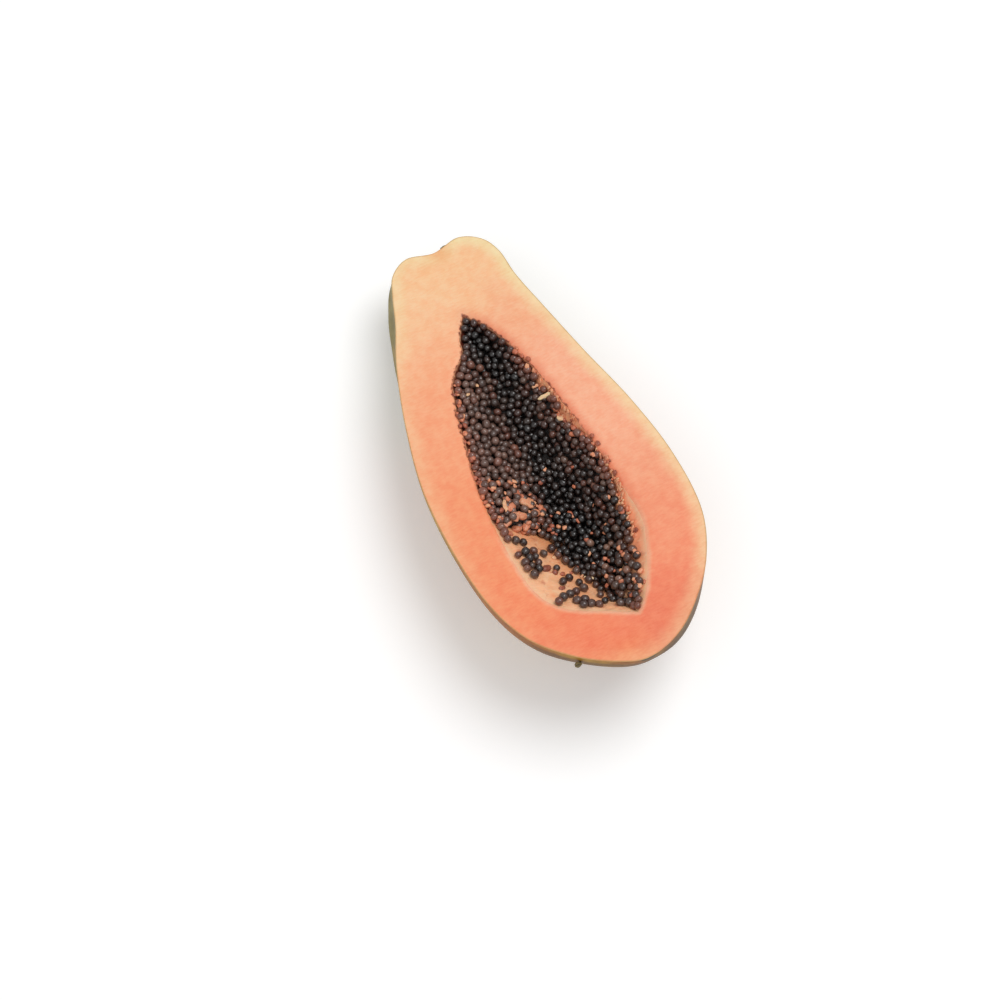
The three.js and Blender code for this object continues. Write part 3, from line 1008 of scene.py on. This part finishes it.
def grow(piece, values):
    # runs the tree on the piece's points and keeps the result as a plain mesh
    modifier = piece.modifiers.new("balls", "NODES")
    modifier.node_group = ballTree
    for item in ballTree.interface.items_tree:
        if item.item_type == "SOCKET" and item.in_out == "INPUT" and item.name in values:
            modifier[item.identifier] = values[item.name]
    graph = bpy.context.evaluated_depsgraph_get()
    mesh = bpy.data.meshes.new_from_object(
        piece.evaluated_get(graph), preserve_all_data_layers=True, depsgraph=graph)
    piece.modifiers.clear()
    piece.data = mesh
    return piece


toneRule = {
    "roll": 0.7,  # radians by which a seed's long side may tip
    # painted shade in the furrow: place along, where it is deepest, how far it reaches, how dark it is
    "furrow": [(-92, 8, 14, 0.9), (-72, 6, 18, 0.95), (-52, 2, 20, 1), (-42, 2, 18, 1),
               (-32, 4, 15, 0.92), (-22, 3, 16, 0.92), (-12, 5, 12, 0.7), (12, 8, 12, 0.8),
               (28, 4, 12, 0.7), (43, 8, 10, 0.85), (62, 5, 10, 0.85)],
    "furrowEdge": (-1, -0.4),  # the painted shade grows inwards between these shares of its reach
    "furrowAlong": (-112, -62),
    "stemDark": (0.5, 60, 72),  # how much darker the stem tip is, and where that grows
    "darkest": 0.95,
    # painted light: the seeds on the upper left, on the slope that faces the light, lighter by a random
    # amount
    "litAcross": (0, 20),
    "litAlong": (-52, -36),
    "lit": (0.15, 0.8),  # least and most of it
    # how reddish a seed is at the rim, how fast that falls, and the fixed and the random share of it
    "rimWarm": 1.3,
    "rimWarmReach": 5,
    "rimChance": (0.35, 0.65),
    "stemLessWarm": (0.75, 50, 64),  # how much less at the stem tip, and where that grows
    "blossomWarm": (0.15, 60, 80),  # and at least this reddish at the blossom end
    "strayWarm": (0.6, 5),  # most for a single seed, and a power: the larger, the fewer they are
    "oddSeeds": [(5, -60), (12, -67.5), (15, -66), (9, -89.5), (11, -88), (3, -77)],  # pale ones
    "oddReach": 3,
}


def seedTones(rule, seeds, draw, warmest):
    # how reddish each seed is, how dark with painted shade, how lit with painted light, and how pale
    x, y, z, _, _, fromRim = seeds.T
    chance = draw.uniform(0, 1, (2, len(seeds)))
    least, more = rule["rimChance"]
    amount, start, end = rule["stemLessWarm"]
    warmRim = np.clip(rule["rimWarm"] - fromRim / rule["rimWarmReach"], 0, 1)
    warmRim = warmRim * (least + more * chance[0]) * (1 - amount * smoothstep(y, start, end))
    # painted shade: the seeds in the furrow darker, and the stem tip darker too
    furrow = np.array(rule["furrow"])
    middle, reach, dark = (np.interp(y, furrow[:, 0], furrow[:, n]) for n in (1, 2, 3))
    away = np.abs(x - middle) / reach
    depth = dark * smoothstep(-away, *rule["furrowEdge"]) * smoothstep(y, *rule["furrowAlong"])
    amount, start, end = rule["stemDark"]
    depth = np.clip(depth + amount * smoothstep(y, start, end), 0, rule["darkest"])
    # painted light on the seeds of the heap's left slope
    lit = smoothstep(-x, *rule["litAcross"]) * smoothstep(y, *rule["litAlong"])
    lit = lit * (1 - depth) * draw.uniform(*rule["lit"], len(seeds))
    amount, start, end = rule["blossomWarm"]
    warmEnd = amount * chance[0] * smoothstep(-y, start, end)
    amount, power = rule["strayWarm"]
    warmth = np.maximum(warmRim, np.maximum(warmEnd, amount * chance[1] ** power * (1 - depth)))
    odd = np.zeros(len(seeds))
    for oddX, oddY in rule["oddSeeds"]:
        flat = np.hypot(x - oddX, y - oddY)
        odd[np.argmin(np.where(flat < rule["oddReach"], flat - z, math.inf))] = 1
    warmth = np.clip(warmth, 0, 1) * warmest
    return {"warmth": warmth, "depth": depth * (1 - odd), "lit": lit, "odd": odd}


def seedPiece(name, seeds, material, number, warmest):
    draw = np.random.default_rng(number)
    lies = []
    for slope in seeds[:, 4]:
        turn = lieOn(slope, draw.uniform(0, 2 * math.pi))
        roll = Matrix.Rotation(draw.uniform(-toneRule["roll"], toneRule["roll"]), 3, "Y")
        lies.append((turn @ roll).to_euler()[:])
    values = {
        "lie": np.array(lies),
        "size": np.outer(seeds[:, 3], [seedRule["length"], 1, 1]) * millimetre,
    }
    values |= seedTones(toneRule, seeds, draw, warmest)
    piece = newPiece(name, toRest(seeds[:, :3]), values=values)
    sizes = {"Ball Steps": seedRule["ballSteps"], "Random Seed": number, "Material": material}
    return grow(piece, sizes)


draw = np.random.default_rng(seedRule["random"])
loose = layLooseSeeds(seedRule, seedRule["looseRows"], draw)
heap = layHeapSeeds(seedRule, draw, loose)
loose = np.concatenate([loose, layLooseSeeds(seedRule, seedRule["strayRows"], draw)])
wetSeeds = seedMaterial()
heapSeeds = seedPiece("heapSeeds", heap, wetSeeds, number=11, warmest=0.9)
looseSeeds = seedPiece("looseSeeds", loose, wetSeeds, number=12, warmest=0.8)
for piece, seeds in ((heapSeeds, heap), (looseSeeds, loose)):
    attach(piece, "root")
    print(piece.name, len(seeds), "seeds,", len(piece.data.polygons), "faces")
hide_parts("seeds")

# The heap's core, standing for the seeds and pulp under the top layer, near-black as painted shade
# between the seeds

coreRule = {
    "along": 200,
    "across": 60,
    "lumps": (0.9, 4.5, 5.1),  # height, size of a lump, shift of the pattern
    "wallGap": 0.2,  # it stays this far off the wall
    "leastThick": 0.03,
    # near-black: painted shade in the gaps between the seeds
    "base": [(0.3, "120c0b"), (0.7, "2c1f1b")],
    "grain": (2.5, 3),
    "bump": 0.4,
    "shader": {"Roughness": 0.5},
}


def coreMaterial():
    material, tree, shader = newMaterial("heapCore", coreRule["shader"])
    grain = cloud(tree, levelPlace(tree), *coreRule["grain"])
    finish(tree, shader, ramp(tree, grain, coreRule["base"]), grain, coreRule["bump"])
    return material


def buildCore():
    section = [part[:, None] for part in cavitySection(np.linspace(0, 1, coreRule["along"] + 1))]
    x = section[1] + (section[2] - section[1]) * np.linspace(0, 1, coreRule["across"] + 1)
    y = np.broadcast_to(section[0], x.shape)
    wall = wallHeight(section, x) + coreRule["wallGap"]
    top = coreTop(section, x)
    top = top + lumpsAt(np.stack([x, y, top], -1), coreRule["lumps"])
    thick = top > wall
    faces = gridFaces(0, *x.shape)
    used = thick.ravel()[faces].any(1)
    # the upper and the lower sheet meet only along their border
    grid = used.reshape(x.shape[0] - 1, -1)
    thick[1:-1, 1:-1] |= grid[1:, 1:] & grid[1:, :-1] & grid[:-1, 1:] & grid[:-1, :-1]
    bottom = np.where(thick, np.minimum(wall, top - coreRule["leastThick"]), top)
    sheets = [np.stack([x, y, height], -1).reshape(-1, 3) for height in (top, bottom)]
    both = np.concatenate([faces[used], faces[used][:, ::-1] + x.size])
    piece = newPiece("heapCore", toRest(np.concatenate(sheets)), both, [coreMaterial()])
    print("core: open edges", weld(piece.data))
    piece.data.shade_smooth()
    return piece


core = buildCore()
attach(core, "root")

# Bits of pulp on the heap and the wall, the seeds' short stalks, and two crumbs of skin

bitRule = {
    "lift": 2.3,  # a bit's middle over the heap's top
    "wallLift": 0.6,
    "sink": 0.15,  # a bit lies lower by this share of its width past the next value
    "sinkFrom": 2,
    "thick": 0.6,  # share of its width
    # place across and along, length, width, turn in degrees, tone from reddish 0 to cream 1
    "onHeap": [
        (-16.8, 44.5, 3.0, 2.0, 20, 0.8),
        (-9.2, 48.6, 2.6, 1.8, 70, 0.8),
        (20.0, 45.2, 3.4, 2.4, 60, 0.6),
        (19.6, 34.6, 4.2, 2.8, -20, 0.7),
        (20.8, 25.6, 8.2, 2.6, -5, 1.0),
        (23.2, 10.4, 5.0, 2.8, -50, 0.9),
        (24.0, -2.5, 4.4, 3.0, -40, 0.4),
        (27.4, -20, 3.6, 2.2, -60, 0.5),
        (-25.4, 33.2, 3.2, 2.4, 60, 0.6),
        (-28.6, -25.5, 8.4, 2.8, 72, 0.75),
        (-18.1, -19.3, 5.5, 3.2, 40, 0.3),
        (-15.7, -24.9, 10.0, 6.0, -12, 0.6),
        (-13.0, -27.2, 4.6, 3.0, 60, 0.5),
        (-23.2, -33.5, 8.0, 5.0, -18, 0.5),
        (-22.0, -37.6, 6.0, 4.0, 50, 0.45),
        (-25.5, -27.0, 7.0, 4.5, 30, 0.4),
        (-14.0, -33.0, 6.5, 4.5, 10, 0.5),
        (-9.5, -30.0, 5.0, 3.5, 60, 0.35),
        (-31.5, -34.6, 6.0, 4.0, 30, 0.5),
        (-27.5, -37.2, 6.0, 4.0, -20, 0.45),
        (-23.5, -39.0, 5.0, 3.5, 10, 0.5),
        (-26.6, -33.6, 6.0, 4.5, 60, 0.45),
        (-30.5, -14.0, 4.0, 2.4, 50, 0.4),
        (-7.6, -75.6, 2.4, 1.6, 30, 0.7),
        (-6.0, -77.4, 2.6, 1.7, -40, 0.9),
        (-3.8, -79.4, 2.8, 1.8, -50, 1.0),
        (-12.2, -71.6, 3.4, 2.2, 10, 0.2),
    ],
    "onWall": [
        (-33.0, -40.0, 4.6, 3.2, -30, 0.3),
        (-15.8, -59.8, 4.4, 2.4, 20, 0.8),
        (-17.0, -71.4, 3.6, 2.4, 0, 0.2),
        (-24.2, -66.4, 6.4, 4.2, 20, 0.0),
        (-20.4, -69.4, 4.6, 3.2, 50, 0.05),
        (-22.4, -81.2, 4.4, 2.6, 10, 0.1),
        (-9.0, -84.5, 3.0, 2.0, 60, 0.4),
        (27.8, -69.5, 3.4, 2.4, 40, 0.0),
    ],
    # short stalks along the right rim: number and stretch
    "stalks": [(46, (-72, -14)), (34, (2, 44))],
    "stalkWay": (-1.5, 3.0),  # as far to the right of the heap's end
    "stalkTurn": (160, 240),
    "stalkLift": 1.2,
    "stalkLength": (2.4, 4.6),
    "stalkWidth": (1.0, 1.8),
    "stalkTone": (0.4, 0.75),
    # shreds of pulp between the seeds: number, stretch, how much they crowd to the left
    "shreds": [(70, (-47, -8), 3.2), (36, (-104, -54), 1.1)],
    "leastCrowding": 1.2,
    "shredLift": (1.2, 2.6),
    "shredSize": (1.6, 3.8),
    "shredShape": (2, 2.6, 3.5),  # its length over each of its half sizes
    "shredTone": (0.1, 0.65),
    # shreds along both rims in turn
    "rimShreds": 110,
    "rimReach": (-42, 58),
    "rimWay": (0.4, 3.2),
    "rimOutwards": 2,
    "rimLift": (0.8, 2.4),
    "rimWallLift": 0.3,  # share of that where it lies on the wall
    "rimTone": (0, 0.45),
    "rimTurn": (60, 120),
    "rimMargin": 1,  # stalks and shreds stay this far within the cavity
    "random": 733,
    "lumpPattern": 3,
    # on the skin: place, the crumb's own three half sizes
    "skinCrumbs": [
        ((-34.8, -124.8, -6.0), (2.0, 1.6, 1.9)),
        ((13.0, 136.6, -1.2), (2.6, 0.9, 1.1)),
    ],
    # size and height of the lumps, steps of the ball
    "pulpBits": (1.9, 1.9, 7),
    "pulpShreds": (1.9, 1.5, 4),
    "crumbs": (1.5, 1.2, 7),
}

bitLook = {
    "grain": (1.4, 3),
    "grainReach": 0.7,
    "tones": [(0.0, "8c4b38"), (0.2, "b8654a"), (0.4, "d98663"), (0.6, "e79f78"), (0.8, "eab68b"),
              (1.0, "efd0a4")],
    "bump": 0.25,
    "shader": {
        "Roughness": 0.4,
        "Specular IOR Level": 0.4,
        "Subsurface Weight": 0.2,
        "Subsurface Radius": (1.0, 0.5, 0.3),
        "Subsurface Scale": 0.0015,
        "Coat Weight": 0.2,
        "Coat Roughness": 0.25,
    },
}

crumbLook = {
    "grain": (1.2, 3),
    "base": [(0.3, "4d4128"), (0.7, "8b7a4c")],
    "bump": 0.3,
    "shader": {"Roughness": 0.7},
}


def bitMaterial():
    material, tree, shader = newMaterial("pulpBits", bitLook["shader"])
    grain = cloud(tree, levelPlace(tree), *bitLook["grain"])
    tone = plus(tree, stored(tree, "tone"), swing(tree, grain, bitLook["grainReach"]))
    finish(tree, shader, ramp(tree, tone, bitLook["tones"], smooth=False), grain, bitLook["bump"])
    return material


def crumbMaterial():
    material, tree, shader = newMaterial("skinCrumb", crumbLook["shader"])
    grain = cloud(tree, levelPlace(tree), *crumbLook["grain"])
    finish(tree, shader, ramp(tree, grain, crumbLook["base"]), grain, crumbLook["bump"])
    return material


def laidBit(x, y, turn, height, lift, sizes, tone):
    # middle, turn, half sizes and tone of a bit that lies on this surface
    section = sectionAt(y)
    lie = lieOn(float(slopeOf(height, section, x)), math.radians(turn))
    return (x, y, float(height(section, x)) + lift), lie.to_euler()[:], sizes, tone


def placedBits(rule):
    rows = []
    for height, lift, bits in ((heapHeight, rule["lift"], rule["onHeap"]),
                               (wallHeight, rule["wallLift"], rule["onWall"])):
        for x, y, length, width, turn, tone in bits:
            sizes = (length / 2, width / 2, width * rule["thick"] / 2)
            raised = lift - rule["sink"] * (width - rule["sinkFrom"])
            rows.append(laidBit(x, y, turn, height, raised, sizes, tone))
    return rows


def strewnBits(rule, draw):
    def shred():
        length = draw.uniform(*rule["shredSize"])
        return [length / part for part in rule["shredShape"]]

    rows = []
    for count, reach in rule["stalks"]:
        for _ in range(count):
            y = draw.uniform(*reach)
            section = sectionAt(y)
            x = float(heapEnd(section)[1]) + draw.uniform(*rule["stalkWay"])
            turn = draw.uniform(*rule["stalkTurn"])
            length, width = draw.uniform(*rule["stalkLength"]), draw.uniform(*rule["stalkWidth"])
            sizes = (length / 2, width / 2, width / 2)
            x = min(x, float(section[2]) - rule["rimMargin"])
            tone = draw.uniform(*rule["stalkTone"])
            rows.append(laidBit(x, y, turn, wallHeight, rule["stalkLift"], sizes, tone))
    for count, reach, crowding in rule["shreds"]:
        for _ in range(count):
            y = draw.uniform(*reach)
            section = sectionAt(y)
            start = max(float(section[1]), float(heapEnd(section)[0])) + rule["rimMargin"]
            x = start + (float(section[2]) - start) * draw.beta(rule["leastCrowding"], crowding)
            turn, lift = draw.uniform(0, 180), draw.uniform(*rule["shredLift"])
            sizes, tone = shred(), draw.uniform(*rule["shredTone"])
            rows.append(laidBit(x, y, turn, heapHeight, lift, sizes, tone))
    for n in range(rule["rimShreds"]):
        y = draw.uniform(*rule["rimReach"])
        section = sectionAt(y)
        way = draw.uniform(*rule["rimWay"])
        end = heapEnd(section)[1]
        onRight = float(min(end, section[2])) - way + rule["rimOutwards"]
        x = float(section[1]) + way if n % 2 else onRight
        lift = draw.uniform(*rule["rimLift"]) * (rule["rimWallLift"] if x > end else 1)
        top = wallHeight if x > end else heapHeight
        turn = draw.uniform(*rule["rimTurn"])
        rows.append(laidBit(x, y, turn, top, lift, shred(), draw.uniform(*rule["rimTone"])))
    return rows


def buildBits(name, rows, material, lumpRule):
    middles, lies, sizes, tones = (np.array(part, float) for part in zip(*rows))
    values = {"lie": lies, "size": sizes * millimetre, "tone": tones}
    piece = newPiece(name, toRest(middles), values=values)
    size, height, steps = lumpRule
    grow(piece, {
        "Ball Steps": steps,
        "Random Seed": bitRule["lumpPattern"],
        "Lump Size": size * millimetre,
        "Lump Height": height * millimetre,
        "Material": material,
    })
    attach(piece, "root")
    print(name, len(rows), "bits,", len(piece.data.polygons), "faces")


pulp = bitMaterial()
buildBits("pulpBits", placedBits(bitRule), pulp, bitRule["pulpBits"])
strewn = strewnBits(bitRule, np.random.default_rng(bitRule["random"]))
buildBits("pulpShreds", strewn, pulp, bitRule["pulpShreds"])
crumbs = [(place, (0, 0, 0), sizes, 0) for place, sizes in bitRule["skinCrumbs"]]
buildBits("skinCrumbs", crumbs, crumbMaterial(), bitRule["crumbs"])

# Floor, lights and camera

studio = {
    "floorSide": 8.0,
    "floor": {
        "Base Color": (0.97, 0.97, 0.97, 1),
        "Roughness": 0.8,
        "Emission Color": (1, 1, 1, 1),
        "Emission Strength": 0.15,
    },
    "sky": 0.5,
    # place, size and power of each light
    "keyLight": ((0.7, 0.15, 1.9), 1.3, 18.2),
    "fillLight": ((-1.3, -0.6, 1.6), 2.2, 7),
}


def buildFloor():
    side = studio["floorSide"] / 2
    corners = [(-side, -side, 0), (side, -side, 0), (side, side, 0), (-side, side, 0)]
    material = newMaterial("paleFloor", studio["floor"])[0]
    return newPiece("floor", corners, [(0, 1, 2, 3)], [material])


def areaLight(name):
    place, size, power = studio[name]
    light = bpy.data.lights.new(name, "AREA")
    light.shape = "DISK"
    light.size = size
    light.energy = power
    lamp = bpy.data.objects.new(name, light)
    lamp.location = place
    lamp.rotation_euler = Vector(place).to_track_quat("Z", "Y").to_euler()
    bpy.context.scene.collection.objects.link(lamp)


buildFloor()
areaLight("keyLight")
areaLight("fillLight")
world = bpy.data.worlds.new("studio")
world.use_nodes = True
world.node_tree.nodes["Background"].inputs["Color"].default_value = (1, 1, 1, 1)
world.node_tree.nodes["Background"].inputs["Strength"].default_value = studio["sky"]
bpy.context.scene.world = world
bpy.context.scene.view_settings.view_transform = "Standard"

view = {
    "lens": 90,
    "sensor": 36,
    "farthest": 20,  # metres
    "azimuth": -32.44,  # degrees round from straight in front
    "elevation": 69.7,
    "roll": 6.74,
    "distance": 1378.6,
    "aim": (-23.76, -11.54, 31.68),
}


def placeCamera():
    azimuth, elevation = math.radians(view["azimuth"]), math.radians(view["elevation"])
    back = Vector((
        math.sin(azimuth) * math.cos(elevation),
        -math.cos(azimuth) * math.cos(elevation),
        math.sin(elevation),
    ))
    level = Vector((0, 0, 1)).cross(back).normalized()
    right = Matrix.Rotation(math.radians(view["roll"]), 3, back) @ level
    up = back.cross(right)
    lens = bpy.data.cameras.new("camera")
    lens.lens = view["lens"]
    lens.sensor_width = view["sensor"]
    lens.clip_end = view["farthest"]
    camera = bpy.data.objects.new("camera", lens)
    turn = Matrix((right, up, back)).transposed().to_4x4()
    place = (Vector(view["aim"]) + back * view["distance"]) * millimetre
    camera.matrix_world = Matrix.Translation(place) @ turn
    bpy.context.scene.collection.objects.link(camera)
    bpy.context.scene.camera = camera


placeCamera()
print("studio ready")
